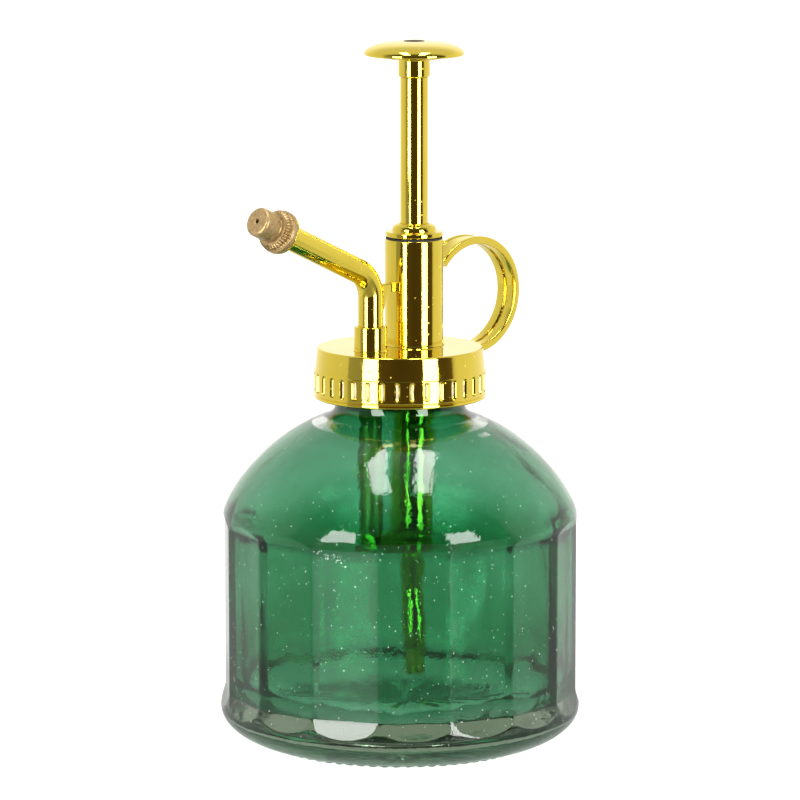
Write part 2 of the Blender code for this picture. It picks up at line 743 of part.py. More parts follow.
def build():
    clear_scene()
    bottle()
    screw_cap()
    cap_gasket()
    cap_nut()
    pump_barrel()
    barrel_gland()
    gland_washer()
    rod_wiper()
    piston_rod()
    plunger_knob()
    knob_screw()
    rod_stop()
    piston()
    return_spring()
    tube("pump_cylinder", CYLINDER_R, CYLINDER_BORE_R, CYLINDER_LOW, CYLINDER_HIGH, gold(), PUMP_X)
    riser_tube()
    tube("dip_tube", DIP_R, DIP_BORE_R, DIP_LOW, DIP_HIGH, gold(), PUMP_X)
    cylinder_foot()
    inlet_valve()
    outlet_valve()
    spout()
    spout_brace()
    nozzle()
    finger_ring()


build()
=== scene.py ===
"""Looks of a glass hand mister: clear moulded glass with a green lining, gold plate and bare brass.

Lengths are in millimetres unless a comment says metres, and meshes are scaled to metres as they
are made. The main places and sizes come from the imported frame's boxes. The rest are the design's.
"""

import json
import math
import random

import bmesh
import bpy
from mathutils import Matrix, Vector, noise

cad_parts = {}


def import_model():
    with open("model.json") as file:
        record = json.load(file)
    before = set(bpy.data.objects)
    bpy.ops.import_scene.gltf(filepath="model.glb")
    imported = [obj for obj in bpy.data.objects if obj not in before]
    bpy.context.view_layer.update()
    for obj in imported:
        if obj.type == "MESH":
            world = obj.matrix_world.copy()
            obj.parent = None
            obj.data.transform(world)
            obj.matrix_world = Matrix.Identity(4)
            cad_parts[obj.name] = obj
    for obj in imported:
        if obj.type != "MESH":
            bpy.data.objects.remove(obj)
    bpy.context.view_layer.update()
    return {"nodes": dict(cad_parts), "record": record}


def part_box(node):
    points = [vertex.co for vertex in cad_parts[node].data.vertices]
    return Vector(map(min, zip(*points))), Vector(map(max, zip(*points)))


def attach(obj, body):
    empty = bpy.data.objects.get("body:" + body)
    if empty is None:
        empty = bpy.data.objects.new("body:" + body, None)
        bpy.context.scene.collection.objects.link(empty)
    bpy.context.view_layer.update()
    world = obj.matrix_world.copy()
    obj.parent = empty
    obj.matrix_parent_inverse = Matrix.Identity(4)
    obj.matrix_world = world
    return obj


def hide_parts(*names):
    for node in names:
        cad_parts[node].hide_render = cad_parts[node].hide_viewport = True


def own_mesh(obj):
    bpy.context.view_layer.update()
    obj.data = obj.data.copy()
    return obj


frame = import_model()

MM = 0.001
FINE = 128  # sides of a small turned piece
TABLE_R = 0.36  # metres, the part of the table that shows in reflections
SPOT_R = 0.12  # metres, the part of it that also shows through the glass
FLOOR_R = 6.0  # metres
PHOTO_AZIMUTH = -46.0  # degrees, 0 looks along +Y


def low(node):
    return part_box(node)[0] / MM


def high(node):
    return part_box(node)[1] / MM


def half_width(node):
    return (high(node).y - low(node).y) / 2


def middle_x(node):
    return (low(node).x + high(node).x) / 2


# Places read from the frame

PUMP_X = middle_x("pump_barrel")
SPOUT_X = middle_x("spout_socket")
CAP_TOP = high("screw_cap").z
HEAD_BASE = CAP_TOP + 0.02  # the pieces that stand on the cap start here
CAP_BOTTOM = low("screw_cap").z
SKIRT_R = half_width("screw_cap")
HEEL_R = half_width("bottle")
NECK_TOP = high("bottle").z

# Bottle, as the design has it

PANELS = 16
PANEL_TURN = 3.85
PANEL_APOTHEM = 38.7
PANEL_LOW = 12.3
PANEL_HIGH = 50.0
LEDGE_SLOPE = 0.37
BODY_R = 39.4
HEEL_Z = 8.6
BASE_R = 24.5
DOME_Z = 52.3
DOME_HEIGHT = 24.5
DOME_FLATNESS = 2.264
DOME_ROUNDNESS = 1.298
DOME_SWEEP = 69.0
NECK_R = 14.4
NECK_BORE_R = 13.1
NECK_BASE_Z = 75.4
THREAD_LOW = 79.0
THREAD_PITCH = 3.0
THREAD_TURNS = 1.6
THREAD_HEIGHT = 0.8
WALL = 3.2
FLOOR_Z = 9.5
FLOOR_ROUND = 11.0
SEEDS = 1500

# Cap and head, as the design has them

CAP_R = 18.5
CAP_STEP_Z = 84.1
CAP_BORE_R = 17.2
CAP_TOP_WALL = 1.3
SLOTS = 36
SLOT_TURN = 2.2
SLOT_LOW = 79.65
SLOT_HIGH = 83.95
SLOT_HALF = 0.5
SLOT_DEPTH = 0.5
SPOUT_R = 2.8
RISER_NECK_R = 2.45
RISER_TAPER_Z = 66.0
SPOUT_BORE_R = 2.2
SPOUT_CORNER_Z = 105.7
SPOUT_RISE = 24.0
SPOUT_BEND_R = 7.0
NOZZLE_REACH = 38.3
NOZZLE_LENGTH = 8.2
NOZZLE_R = 4.8
TIP_R = 3.25
TEETH = 40
RING_X = 21.9
RING_Z = 98.8
RING_HALF_LENGTH = 14.2
RING_HALF_HEIGHT = 13.2
STRIP_WIDTH = 5.5
STRIP_THICKNESS = 1.75
ROD_R = 3.08
PISTON_ROD_R = 1.5
ROD_STEP_Z = 101.7
GLAND_BORE_R = 3.23
CYLINDER_BORE_R = 4.1
RISER_BORE_R = 2.0
DIP_BORE_R = 2.3
PUMP_HOLE_R = 5.0
RISER_HOLE_R = 2.75
SPOUT_LOW = 93.5
SPOUT_SEAT_Z = 92.1
SPRING_COIL_R = 3.0
SPRING_WIRE_R = 0.5
SPRING_TURNS = 9

# Coat inside the bottle: thickness by height, and how fast it takes red, green and blue

COAT = (
    *((9, 0.12), (12, 0.35), (16, 0.72), (20, 1.03), (27, 0.97)),
    *((33, 0.73), (46, 0.78), (56, 0.54), (68, 0.62), (74, 1.2)),
)
# Extra coat by height under the front of the shoulder: painted shade.
COAT_FRONT_SHADE = ((49.5, 0.0), (50.5, 1.0), (53.5, 0.75), (57.5, 0.25), (60, 0.0))
COAT_RATES = (2.3, 0.9, 1.5)
MOST_COAT = 2.4

# Studio: distances in metres

CAMERA_DISTANCE = 1.1795
CAMERA_HEIGHT = 0.2672
CAMERA_PITCH = 9.15
CAMERA_LENS = 242.1
LIGHT_REACH = 1.6
RADIANCE = 11.0
WORLD_STRENGTH = 1.25
PLAIN_LEVEL = 0.8  # the world as the camera sees it, which is white at that strength
DARK_LEVEL = 0.1  # the studio's light below this is warm
SHADOW = ((0.035, 0.72), (0.055, 0.60), (0.088, 0.58), (0.120, 0.90))  # round the bottle


def facing():
    """Unit vectors of the photograph's view, level: away from the camera, and to its right."""
    turn = math.radians(-PHOTO_AZIMUTH)
    away = Vector((math.sin(turn), math.cos(turn), 0))
    return away, Vector((away.y, -away.x, 0))


# Node helpers


def new_material(name):
    made = bpy.data.materials.new(name)
    made.use_nodes = True
    return made, made.node_tree, made.node_tree.nodes["Principled BSDF"]


def add(tree, kind, **inputs):
    """A node of this kind, with its input sockets set by name."""
    node = tree.nodes.new(kind)
    for key, value in inputs.items():
        node.inputs[key.replace("_", " ")].default_value = value
    return node


def position(tree):
    return add(tree, "ShaderNodeTexCoord").outputs["Object"]


def noise_of(tree, scale, detail=3.0, roughness=0.5, stretch=None):
    """Noise in object space; scale is in cycles a metre."""
    made = add(tree, "ShaderNodeTexNoise", Scale=scale, Detail=detail, Roughness=roughness)
    source = position(tree)
    if stretch:
        mapping = add(tree, "ShaderNodeMapping", Scale=stretch)
        tree.links.new(source, mapping.inputs["Vector"])
        source = mapping.outputs["Vector"]
    tree.links.new(source, made.inputs["Vector"])
    return made.outputs["Fac"]


def calculate(tree, operation, *values):
    """The result of a math node whose inputs are sockets or numbers."""
    made = add(tree, "ShaderNodeMath")
    made.operation = operation
    for place, value in zip(made.inputs, values):
        if isinstance(value, float):
            place.default_value = value
        else:
            tree.links.new(value, place)
    return made.outputs[0]


def product(tree, first, second):
    return calculate(tree, "MULTIPLY", first, second)


def sum_of(tree, first, second, weight=1.0):
    """first + weight * second."""
    return calculate(tree, "MULTIPLY_ADD", second, weight, first)


def along(tree, source, axis):
    """The dot product of a vector socket and a fixed axis."""
    made = add(tree, "ShaderNodeVectorMath")
    made.operation = "DOT_PRODUCT"
    made.inputs[1].default_value = axis
    tree.links.new(source, made.inputs[0])
    return made.outputs["Value"]


def spots_of(tree, scale, size, share):
    """1 in small round spots in a share of the cells of a cellular pattern, else 0."""
    cells = add(tree, "ShaderNodeTexVoronoi", Scale=scale)
    tree.links.new(position(tree), cells.inputs["Vector"])
    near = calculate(tree, "LESS_THAN", cells.outputs["Distance"], size)
    split = tree.nodes.new("ShaderNodeSeparateColor")
    tree.links.new(cells.outputs["Color"], split.inputs["Color"])
    return product(tree, near, calculate(tree, "LESS_THAN", split.outputs["Red"], share))


def shade(value):
    return (value, value, value)


def ramp(tree, source, stops):
    """A colour ramp through (place, colour) stops."""
    made = tree.nodes.new("ShaderNodeValToRGB")
    elements = made.color_ramp.elements
    while len(elements) < len(stops):
        elements.new(0.5)
    for element, (place, colour) in zip(elements, stops):
        element.position = place
        element.color = (*colour, 1.0)
    tree.links.new(source, made.inputs["Fac"])
    return made.outputs["Color"]


def spread(tree, source, lowest, highest, start=0.3, end=0.7):
    """The source from start to end, mapped to lowest to highest and held there."""
    made = add(tree, "ShaderNodeMapRange")
    made.inputs["From Min"].default_value = start
    made.inputs["From Max"].default_value = end
    made.inputs["To Min"].default_value = lowest
    made.inputs["To Max"].default_value = highest
    tree.links.new(source, made.inputs["Value"])
    return made.outputs["Result"]


def blended(tree, factor, first, second):
    """A mix of two colours."""
    made = tree.nodes.new("ShaderNodeMix")
    made.data_type = "RGBA"
    colours = [socket for socket in made.inputs if socket.type == "RGBA"]
    tree.links.new(factor, made.inputs[0])
    tree.links.new(first, colours[0])
    tree.links.new(second, colours[1])
    return next(socket for socket in made.outputs if socket.type == "RGBA")


def bump(tree, height, distance, shader, strength=1.0):
    made = add(tree, "ShaderNodeBump", Strength=strength, Distance=distance)
    tree.links.new(height, made.inputs["Height"])
    tree.links.new(made.outputs["Normal"], shader.inputs["Normal"])
    return made


# Materials


def two_tone(tree, shader, tone, dark, pale):
    """The base colour, from dark to pale as the tone rises."""
    stops = [(0.3, dark), (0.7, pale)]
    tree.links.new(ramp(tree, tone, stops), shader.inputs["Base Color"])


def gold_plate():
    """Bright yellow plating: almost a mirror, with a faint orange peel and dust nibs."""
    made, tree, shader = new_material("gold_plate")
    shader.inputs["Metallic"].default_value = 1.0
    tone = noise_of(tree, 90.0, 4.0)
    two_tone(tree, shader, tone, (0.79, 0.615, 0.068), (0.85, 0.67, 0.095))
    nibs = spots_of(tree, 800.0, 0.17, 0.14)
    cloud = spread(tree, noise_of(tree, 420.0, 5.0, 0.6), 0.025, 0.085)
    tree.links.new(sum_of(tree, cloud, nibs, 0.45), shader.inputs["Roughness"])
    peel = noise_of(tree, 700.0, 2.0)
    bump(tree, sum_of(tree, peel, nibs, 4.0), 0.00001, shader)
    return made


def dull_plate():
    """The same plating where no polish reaches: pale, and rough enough to catch all the light."""
    made, tree, shader = new_material("dull_plate")
    shader.inputs["Metallic"].default_value = 0.25
    tone = noise_of(tree, 1500.0, 4.0, 0.6)
    two_tone(tree, shader, tone, (0.62, 0.54, 0.32), (0.80, 0.74, 0.52))
    tree.links.new(spread(tree, tone, 0.42, 0.6), shader.inputs["Roughness"])
    bump(tree, noise_of(tree, 2600.0, 3.0), 0.00003, shader, 0.6)
    return made


def painted_hollow_shade():
    """Brass painted near black for the shade inside a hollow, such as the nozzle's orifice."""
    made, tree, shader = new_material("painted_hollow_shade")
    shader.inputs["Metallic"].default_value = 0.5
    tone = noise_of(tree, 1600.0, 5.0, 0.6)
    two_tone(tree, shader, tone, (0.035, 0.024, 0.010), (0.10, 0.072, 0.030))
    tree.links.new(spread(tree, tone, 0.45, 0.65), shader.inputs["Roughness"])
    bump(tree, noise_of(tree, 2400.0, 3.0), 0.00003, shader, 0.6)
    return made


def bare_brass():
    """Turned brass left bare: satin, tan, with dark pits and a soft grain."""
    made, tree, shader = new_material("bare_brass")
    shader.inputs["Metallic"].default_value = 0.85
    tone = noise_of(tree, 1400.0, 6.0, 0.65)
    stops = [(0.28, (0.20, 0.12, 0.045)), (0.43, (0.44, 0.30, 0.13)), (0.75, (0.60, 0.45, 0.23))]
    tree.links.new(ramp(tree, tone, stops), shader.inputs["Base Color"])
    rough = spread(tree, noise_of(tree, 2600.0, 3.0), 0.32, 0.58)
    tree.links.new(rough, shader.inputs["Roughness"])
    pits = spots_of(tree, 1300.0, 0.20, 0.2)
    bump(tree, sum_of(tree, noise_of(tree, 3200.0, 4.0), pits, -1.6), 0.00005, shader, 0.8)
    return made


def bright_steel():
    made, tree, shader = new_material("bright_steel")
    shader.inputs["Metallic"].default_value = 1.0
    tone = noise_of(tree, 500.0, 4.0, 0.5, (1.0, 1.0, 8.0))
    two_tone(tree, shader, tone, (0.50, 0.50, 0.51), (0.63, 0.63, 0.62))
    tree.links.new(spread(tree, tone, 0.16, 0.32), shader.inputs["Roughness"])
    bump(tree, noise_of(tree, 1800.0, 3.0), 0.00001, shader)
    return made


def black_rubber():
    made, tree, shader = new_material("black_rubber")
    grain = noise_of(tree, 1200.0, 5.0, 0.6)
    two_tone(tree, shader, grain, (0.010, 0.010, 0.011), (0.028, 0.027, 0.026))
    tree.links.new(spread(tree, grain, 0.6, 0.85), shader.inputs["Roughness"])
    bump(tree, noise_of(tree, 2500.0, 2.0), 0.00003, shader, 0.6)
    return made


def clear_glass():
    """Clear moulded glass with slow ripples. Light that shadows ask for passes straight through."""
    made, tree, shader = new_material("clear_glass")
    shader.inputs["Base Color"].default_value = (0.97, 0.98, 0.975, 1.0)
    shader.inputs["Transmission Weight"].default_value = 1.0
    shader.inputs["IOR"].default_value = 1.5
    tone = noise_of(tree, 300.0, 2.0)
    tree.links.new(spread(tree, tone, 0.0, 0.012), shader.inputs["Roughness"])
    ripples = noise_of(tree, 70.0, 2.0, 0.4)
    fine = noise_of(tree, 420.0, 2.0, 0.5)
    grain = sum_of(tree, fine, noise_of(tree, 1300.0, 2.0), 0.8)
    bump(tree, sum_of(tree, ripples, grain, 0.08), 0.0006, shader, 0.5)
    clear = add(tree, "ShaderNodeBsdfTransparent", Color=(0.86, 0.93, 0.89, 1.0))
    smoke = add(tree, "ShaderNodeVolumeAbsorption", Color=(0.42, 0.52, 0.40, 1.0), Density=42.0)
    tree.links.new(smoke.outputs["Volume"], tree.nodes["Material Output"].inputs["Volume"])
    mix = add(tree, "ShaderNodeMixShader")
    path = add(tree, "ShaderNodeLightPath")
    tree.links.new(path.outputs["Is Shadow Ray"], mix.inputs["Fac"])
    tree.links.new(shader.outputs["BSDF"], mix.inputs[1])
    tree.links.new(clear.outputs["BSDF"], mix.inputs[2])
    tree.links.new(mix.outputs["Shader"], tree.nodes["Material Output"].inputs["Surface"])
    return made


def toward_front(tree, source):
    """How far a place or a direction lies toward the photograph's camera."""
    return along(tree, source, -facing()[0])


def coat_thickness(tree):
    """Thickness of the coat by height, patchy, and thicker under the front of the shoulder as painted
    shade.
    """
    split = tree.nodes.new("ShaderNodeSeparateXYZ")
    tree.links.new(position(tree), split.inputs["Vector"])
    height = spread(tree, split.outputs["Z"], 0.0, 1.0, 0.0, 0.1)
    base = ramp(tree, height, [(z / 100, shade(t)) for z, t in COAT])
    patchy = product(tree, base, spread(tree, noise_of(tree, 55.0, 5.0, 0.55), 0.88, 1.12))
    # Painted shade: extra coat under the front of the shoulder, on the camera's side.
    front_shade = ramp(tree, height, [(z / 100, shade(t)) for z, t in COAT_FRONT_SHADE])
    front = spread(tree, toward_front(tree, position(tree)), 0.0, 1.0, 0.020, 0.034)
    return sum_of(tree, patchy, product(tree, front_shade, front))


def green_lining():
    """The see-through emerald coat on the inner wall, which takes light as its thickness says."""
    made, tree, shader = new_material("green_lining")
    tree.nodes.remove(shader)
    stops = []
    for i in range(9):
        stops.append((i / 8, [math.exp(-rate * MOST_COAT * i / 16) for rate in COAT_RATES]))
    share = spread(tree, coat_thickness(tree), 0.0, 1.0, 0.0, MOST_COAT)
    tint = add(tree, "ShaderNodeBsdfTransparent")
    tree.links.new(ramp(tree, share, stops), tint.inputs["Color"])
    haze = add(tree, "ShaderNodeBsdfTranslucent", Color=(0.12, 0.42, 0.26, 1.0))
    mix = add(tree, "ShaderNodeMixShader")
    amount = spread(tree, noise_of(tree, 110.0, 6.0, 0.6), 0.005, 0.035)
    tree.links.new(amount, mix.inputs["Fac"])
    tree.links.new(tint.outputs["BSDF"], mix.inputs[1])
    tree.links.new(haze.outputs["BSDF"], mix.inputs[2])
    tree.links.new(mix.outputs["Shader"], tree.nodes["Material Output"].inputs["Surface"])
    return made


def painted_glint_bubble():
    """Tiny seeds in the glass, shown as pale dots with a painted glint: they glow by emission."""
    made, tree, shader = new_material("seed_bubble_painted_glint")
    tree.nodes.remove(shader)
    tone = noise_of(tree, 200.0, 2.0)
    glow = add(tree, "ShaderNodeEmission", Strength=0.7)
    tree.links.new(
        ramp(tree, tone, [(0.3, (0.45, 0.75, 0.60)), (0.7, (0.95, 1.0, 0.97))]),
        glow.inputs["Color"],
    )
    clear = add(tree, "ShaderNodeBsdfTransparent", Color=(1.0, 1.0, 1.0, 1.0))
    mix = add(tree, "ShaderNodeMixShader", Fac=0.7)
    tree.links.new(clear.outputs["BSDF"], mix.inputs[1])
    tree.links.new(glow.outputs["Emission"], mix.inputs[2])
    tree.links.new(mix.outputs["Shader"], tree.nodes["Material Output"].inputs["Surface"])
    return made


GOLD = gold_plate()
DULL = dull_plate()
DARK = painted_hollow_shade()
BRASS = bare_brass()
STEEL = bright_steel()
RUBBER = black_rubber()
GLASS = clear_glass()
LINING = green_lining()
SEED = painted_glint_bubble()


# Mesh helpers


def smooth(mesh, sharp=40):
    mesh.shade_smooth()
    mesh.set_sharp_from_angle(angle=math.radians(sharp))


def piece(name, bm, finish, body, slot, *nodes, sharp=40):
    """A finished piece from a bmesh in millimetres: it rides on the body and stands for the nodes."""
    bmesh.ops.recalc_face_normals(bm, faces=bm.faces)
    if bm.calc_volume(signed=True) < 0:
        bmesh.ops.reverse_faces(bm, faces=bm.faces)
    bm.transform(Matrix.Scale(MM, 4))
    mesh = bpy.data.meshes.new(name)
    bm.to_mesh(mesh)
    bm.free()
    smooth(mesh, sharp)
    mesh.materials.append(finish)
    made = bpy.data.objects.new(name, mesh)
    bpy.context.scene.collection.objects.link(made)
    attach(made, body)
    if nodes:
        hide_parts(*nodes)
    return made


def ring_of(bm, points):
    return [bm.verts.new(point) for point in points]


def bridge(bm, lower, upper):
    count = len(lower)
    for i in range(count):
        j = (i + 1) % count
        bm.faces.new((lower[i], lower[j], upper[j], upper[i]))


def fan(bm, ring, point):
    tip = bm.verts.new(point)
    for i, vertex in enumerate(ring):
        bm.faces.new((vertex, ring[(i + 1) % len(ring)], tip))


def lofted(rings, closed=False, first_tip=None, last_tip=None):
    """A bmesh through rings of points, wrapped round, or ended with tips or with flat faces."""
    bm = bmesh.new()
    made = [ring_of(bm, points) for points in rings]
    for lower, upper in zip(made, made[1:]):
        bridge(bm, lower, upper)
    if closed:
        bridge(bm, made[-1], made[0])
        return bm
    for ring, tip in ((made[0], first_tip), (made[-1], last_tip)):
        if tip is None:
            bm.faces.new(ring)
        else:
            fan(bm, ring, tip)
    return bm


def arc(centre, radii, start, end, steps):
    """Points along an ellipse, from one angle in degrees to another."""
    points = []
    for i in range(steps + 1):
        angle = math.radians(start + (end - start) * i / steps)
        points.append(
            (centre[0] + radii[0] * math.cos(angle), centre[1] + radii[1] * math.sin(angle))
        )
    return points


def rounded(corners, closed, steps=5):
    """An outline of (radius, height) from corners of (radius, height, fillet)."""
    points = []
    count = len(corners)
    for i, (radius, height, fillet) in enumerate(corners):
        here = Vector((radius, height))
        at_end = not closed and i in (0, count - 1)
        if fillet == 0 or at_end:
            points.append((radius, height))
            continue
        before = Vector(corners[i - 1][:2]) - here
        after = Vector(corners[(i + 1) % count][:2]) - here
        half = before.angle(after) / 2
        cut = fillet / math.tan(half)
        cut = min(cut, before.length * 0.49, after.length * 0.49)
        reach = cut * math.tan(half)
        middle = here + (before.normalized() + after.normalized()).normalized() * (
            math.hypot(reach, cut)
        )
        start = here + before.normalized() * cut - middle
        end = here + after.normalized() * cut - middle
        sweep = start.angle_signed(end)
        for k in range(steps + 1):
            turned_by = start.copy()
            turned_by.rotate(Matrix.Rotation(-sweep * k / steps, 2))
            points.append(tuple(middle + turned_by))
    return points


def circle(radius, height, sides, x=0.0):
    turns = (math.tau * i / sides for i in range(sides))
    return [(x + radius * math.cos(t), radius * math.sin(t), height) for t in turns]


def turned(outline, x=0.0, sides=FINE, place=None):
    """A turned solid. An outline that starts and ends on the axis is closed by it, else it wraps."""
    on_axis = outline[0][0] == 0
    if on_axis:
        rings = [circle(r, z, sides, x) for r, z in outline[1:-1]]
        bm = lofted(rings, False, (x, 0, outline[0][1]), (x, 0, outline[-1][1]))
    else:
        bm = lofted([circle(r, z, sides, x) for r, z in outline], True)
    if place:
        bm.transform(place)
    return bm


def step_between(lowest, highest, value):
    """A smooth step from 0 at lowest to 1 at highest."""
    t = min(1.0, max(0.0, (value - lowest) / (highest - lowest)))
    return t * t * (3 - 2 * t)


# Bottle


def soft_min(a, b, width):
    """The lesser of two lengths, with the corner between them rounded over the width."""
    blend = max(0.0, width - abs(a - b)) / width
    return min(a, b) - blend * blend * width / 4


def flat_side_radius(angle):
    """Distance from the axis to the flat side that faces this angle in degrees."""
    pitch = 360 / PANELS
    off = (angle - PANEL_TURN + pitch / 2) % pitch - pitch / 2
    return PANEL_APOTHEM / math.cos(math.radians(off))


def polar(radius, angle, height):
    turn = math.radians(angle)
    return Vector((radius * math.cos(turn), radius * math.sin(turn), height))


def outer_point(angle, round_r, z):
    past = max(0.0, z - PANEL_HIGH, PANEL_LOW - z)
    flat = flat_side_radius(angle) + LEDGE_SLOPE * past
    return polar(soft_min(round_r, flat, 0.04), angle, z)


def dome_profile(steps, first=0.0):
    """(radius, height) up the shoulder, from this angle of its sweep in degrees."""
    points = []
    for i in range(steps + 1):
        turn = math.radians(first + (DOME_SWEEP - first) * i / steps)
        radius = BODY_R * math.cos(turn) ** (2 / DOME_FLATNESS)
        points.append((radius, DOME_Z + DOME_HEIGHT * math.sin(turn) ** (2 / DOME_ROUNDNESS)))
    return points


def thread_rise(angle, z):
    """Height of the neck's thread over the neck, which fades out at both of its ends."""
    turns = (z - THREAD_LOW) / THREAD_PITCH - angle / 360
    nearest = round(turns)
    wound = nearest + angle / 360
    if not 0 <= wound <= THREAD_TURNS:
        return 0.0
    fade = min(1.0, wound * 12, (THREAD_TURNS - wound) * 12)
    off = abs(turns - nearest) * THREAD_PITCH
    return THREAD_HEIGHT * fade * (1 - step_between(0.2, 0.95, off))


def stipple(angle, radius):
    """Height of the moulded grip dots on the underside's rim, in three rings."""
    total = 0.0
    for ring_r, count, shift in ((25.3, 72, 0.0), (27.5, 72, 0.5), (29.8, 72, 0.0)):
        across = radius - ring_r
        round_it = ((angle / 360 * count + shift) % 1 - 0.5) * math.tau * ring_r / count
        total = max(total, 1 - across * across - round_it * round_it)
    return 0.32 * math.sqrt(max(0.0, total))


def ripple(angle, z, strength):
    """Slow waviness of the blown inner wall."""
    turn = math.radians(angle)
    spot = Vector((2.2 * math.cos(turn), 2.2 * math.sin(turn), z * 0.03))
    coarse = noise.noise(spot)
    fine = noise.noise(spot * 3.1 + Vector((5, 1, 2)))
    return strength * (coarse + 0.35 * fine)


def outer_rows():
    """Rows (radius, height) of the outer wall from the underside up to the neck."""
    rows = [(r, 0.35) for r in (8.0, 16.0, 21.5, 23.2)]
    rows += arc((BASE_R, HEEL_Z), (HEEL_R - BASE_R, HEEL_Z - 0.3), -90, 0, 64)[1:]
    steps = 16
    for i in range(1, steps + 1):
        t = i / steps
        swell = (HEEL_R - BODY_R) * (1 - step_between(0.15, 1.0, t))
        rows.append((BODY_R + swell, HEEL_Z + (PANEL_LOW + 0.6 - HEEL_Z) * t))
    rows += [(BODY_R, z) for z in (16, 22, 28, 34, 40, 46)]
    rows += [(BODY_R, PANEL_HIGH - 1.2 + 0.2 * i) for i in range(17)]
    rows += dome_profile(56, 3.0)
    rows += [(NECK_R + 0.95, 74.72), (NECK_R + 0.55, 75.1), (NECK_R + 0.25, 75.6)]
    rows += [(NECK_R + 0.06, 76.2)]
    return rows


def inner_profile():
    """(radius, height) down the bore, under the shoulder, down the wall and across the floor."""
    rows = [(NECK_BORE_R, NECK_TOP - 1.0 - i) for i in range(0, 11, 2)]
    rows += [(NECK_BORE_R + 0.1, NECK_BASE_Z - 0.4), (NECK_BORE_R + 0.7, NECK_BASE_Z - 1.2)]
    rows += [(r - 1.9, z - 1.7) for r, z in reversed(dome_profile(36)[:-1])]
    wall_r = BODY_R - WALL
    rows += [(wall_r + 0.9, PANEL_HIGH - 0.5), (wall_r + 0.3, PANEL_HIGH - 1.8)]
    rows += [(wall_r, PANEL_HIGH - 3.2 - 3.2 * i) for i in range(8)]
    corner_r = wall_r - FLOOR_ROUND
    rows += arc((corner_r, FLOOR_Z + FLOOR_ROUND), (FLOOR_ROUND, FLOOR_ROUND), 0, -90, 22)[1:]
    rows += [(r, FLOOR_Z + 0.15) for r in (19.0, 13.0, 7.0)]
    return rows


def inner_ring(radius, height, inset=0.0):
    """A ring of the inner wall, flat-sided and wavy, moved outwards where the inset is negative."""
    points = []
    for angle in column_angles():
        wave = ripple(angle, height, 0.35) if height < 70 else 0.0
        lift = 0.0
        if height < FLOOR_Z + FLOOR_ROUND:
            deep = 1 - step_between(FLOOR_Z + 2, FLOOR_Z + FLOOR_ROUND, height)
            lift = (1.1 * ripple(angle, 3.0, 1.0) + 0.5 * ripple(angle * 2.7, 40.0, 1.0)) * deep
        past = max(0.0, height - PANEL_HIGH + 2, PANEL_LOW + 6 - height)
        flat = flat_side_radius(angle) - WALL + LEDGE_SLOPE * past
        shrink = inset * (1 - 0.5 * min(1.0, max(0.0, (20 - radius) / 20)))
        reach = soft_min(radius, flat, 2.4) - shrink + wave
        points.append(polar(reach, angle, height + lift + inset * 0.5))
    return points


def column_angles():
    """Angles round the bottle, closer together at the edges between the flat sides."""
    half = 180 / PANELS
    steps = [0, 0.15, 0.3, 0.45, 0.6, 0.7, 0.8, 0.87, 0.92, 0.955, 0.98]
    places = [-s for s in reversed(steps[1:])] + steps + [1.0]
    return [PANEL_TURN + 2 * half * i + half * p for i in range(PANELS) for p in places]


def bottle_glass():
    rings = []
    angles = column_angles()
    for radius, height in outer_rows():
        ring = []
        for angle in angles:
            point = outer_point(angle, radius, height)
            if height < 2.5:
                point.z = max(0.0, point.z - stipple(angle, radius))
            ring.append(point)
        rings.append(ring)
    for i in range(34):
        z = 77.0 + 0.26 * i
        rings.append([polar(NECK_R + thread_rise(a % 360, z), a, z) for a in angles])
    for radius, z in arc((NECK_R - 0.9, NECK_TOP - 0.9), (0.9, 0.9), 0, 90, 8):
        rings.append([polar(radius, a, z) for a in angles])
    rings += [inner_ring(r, z) for r, z in inner_profile()]
    bm = lofted(rings, False, (0, 0, 0.35), (0, 0, FLOOR_Z + 0.2))
    piece("bottle_glass", bm, GLASS, "bottle", "glass", "bottle", sharp=80)


def bottle_lining():
    """A thin closed shell just under the glass of the inner wall.

    There, light that the wall throws back is green too.
    """
    profile = inner_profile()[1:]
    outer = [inner_ring(r, z, -0.16) for r, z in profile]
    inner = [inner_ring(r, z, -0.06) for r, z in profile]
    bm = bmesh.new()
    shells = []
    for rings in (outer, inner):
        made = [ring_of(bm, points) for points in rings]
        for upper, lower in zip(made, made[1:]):
            bridge(bm, upper, lower)
        fan(bm, made[-1], (0, 0, FLOOR_Z + (0.08 if rings is outer else 0.14)))
        shells.append(made)
    bridge(bm, shells[0][0], shells[1][0])
    piece("bottle_lining", bm, LINING, "bottle", "glass", sharp=80)


def seed_bubbles():
    """Small bubbles caught in the wall of the dome, the sides and the heel."""
    draw = random.Random(11)
    bm = bmesh.new()
    for _ in range(SEEDS):
        height = draw.uniform(6.0, 74.0)
        angle = draw.uniform(0, 360)
        if height > DOME_Z:
            share = ((height - DOME_Z) / DOME_HEIGHT) ** DOME_ROUNDNESS
            surface = BODY_R * (1 - share) ** (1 / DOME_FLATNESS)
        else:
            surface = min(BODY_R, flat_side_radius(angle)) - max(0.0, 10 - height) * 0.5
        radius = surface - draw.uniform(0.6, 1.9)
        size = 0.07 + 0.10 * draw.random() ** 3
        place = Matrix.Translation(polar(radius, angle, height))
        stretch = Matrix.Diagonal((1, 1, draw.uniform(1.0, 1.5), 1))
        bmesh.ops.create_icosphere(bm, subdivisions=1, radius=size, matrix=place @ stretch)
    # The seeds' pale glint is painted: their material glows.
    piece("seed_bubbles", bm, SEED, "bottle", "glass", sharp=180)


# Cap


